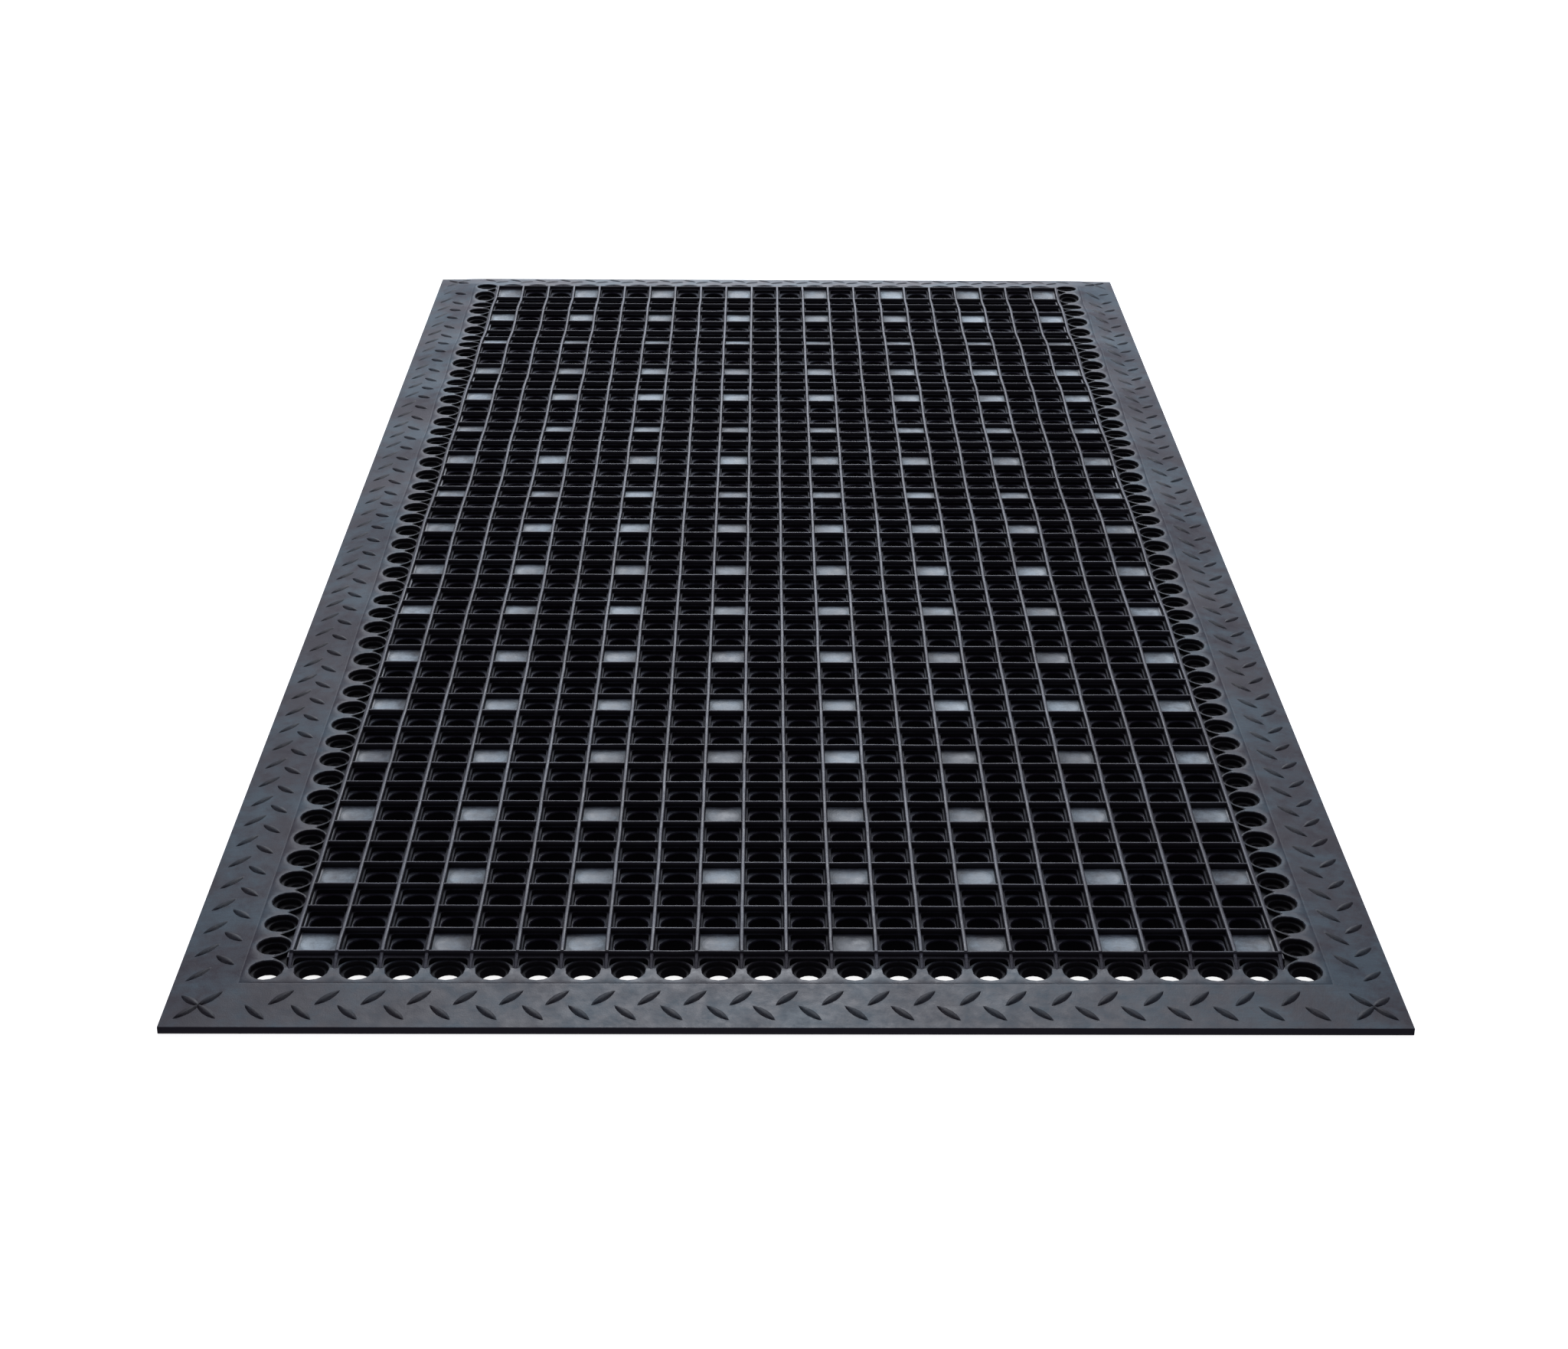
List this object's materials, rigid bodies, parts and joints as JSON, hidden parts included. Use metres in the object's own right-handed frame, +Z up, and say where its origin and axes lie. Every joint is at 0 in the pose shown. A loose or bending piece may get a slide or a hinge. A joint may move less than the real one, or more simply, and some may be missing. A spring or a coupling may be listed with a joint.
{
  "type": "door mat",
  "caption": "Heavy moulded rubber entrance mat: ramped border, square grid of upright ribs with round drain holes, and raised solid pads.",
  "frame": {"origin": "on the ground at the middle of the mat's underside", "axes": "+Y along the mat's length from its front edge to its back edge, +X to the right, +Z up"},
  "size_m": [0.75, 1.5, 0.0145],
  "materials": {
    "border_rubber": "moulded black rubber, satin, greyed by bloom and dust",
    "rib_rubber": "moulded black rubber, rib tops worn to a satin grey",
    "web_rubber": "moulded black rubber, dark in the recesses",
    "pad_rubber": "moulded black rubber with a mottled blue-grey bloom"
  },
  "bodies": {
    "root": {"border_front": "border_rubber", "border_back": "border_rubber", "border_left": "border_rubber", "border_right": "border_rubber", "long_rib_01": "rib_rubber", "long_rib_02": "rib_rubber", "long_rib_03": "rib_rubber", "long_rib_04": "rib_rubber", "long_rib_05": "rib_rubber", "long_rib_06": "rib_rubber", "long_rib_07": "rib_rubber", "long_rib_08": "rib_rubber", "long_rib_09": "rib_rubber", "long_rib_10": "rib_rubber", "long_rib_11": "rib_rubber", "long_rib_12": "rib_rubber", "long_rib_13": "rib_rubber", "long_rib_14": "rib_rubber", "long_rib_15": "rib_rubber", "long_rib_16": "rib_rubber", "long_rib_17": "rib_rubber", "long_rib_18": "rib_rubber", "long_rib_19": "rib_rubber", "long_rib_20": "rib_rubber", "long_rib_21": "rib_rubber", "long_rib_22": "rib_rubber", "long_rib_23": "rib_rubber", "cross_rib_01": "web_rubber", "cross_rib_02": "web_rubber", "cross_rib_03": "web_rubber", "cross_rib_04": "web_rubber", "cross_rib_05": "web_rubber", "cross_rib_06": "web_rubber", "cross_rib_07": "web_rubber", "cross_rib_08": "web_rubber", "cross_rib_09": "web_rubber", "cross_rib_10": "web_rubber", "cross_rib_11": "web_rubber", "cross_rib_12": "web_rubber", "cross_rib_13": "web_rubber", "cross_rib_14": "web_rubber", "cross_rib_15": "web_rubber", "cross_rib_16": "web_rubber", "pad_row_01": "pad_rubber", "pad_row_02": "pad_rubber", "pad_row_03": "pad_rubber", "pad_row_04": "pad_rubber", "pad_row_05": "pad_rubber", "pad_row_06": "pad_rubber", "pad_row_07": "pad_rubber", "pad_row_08": "pad_rubber", "pad_row_09": "pad_rubber", "pad_row_10": "pad_rubber", "pad_row_11": "pad_rubber", "pad_row_12": "pad_rubber", "pad_row_13": "pad_rubber", "pad_row_14": "pad_rubber", "pad_row_15": "pad_rubber", "pad_row_16": "pad_rubber", "pad_row_17": "pad_rubber"}
  },
  "joints": []
}
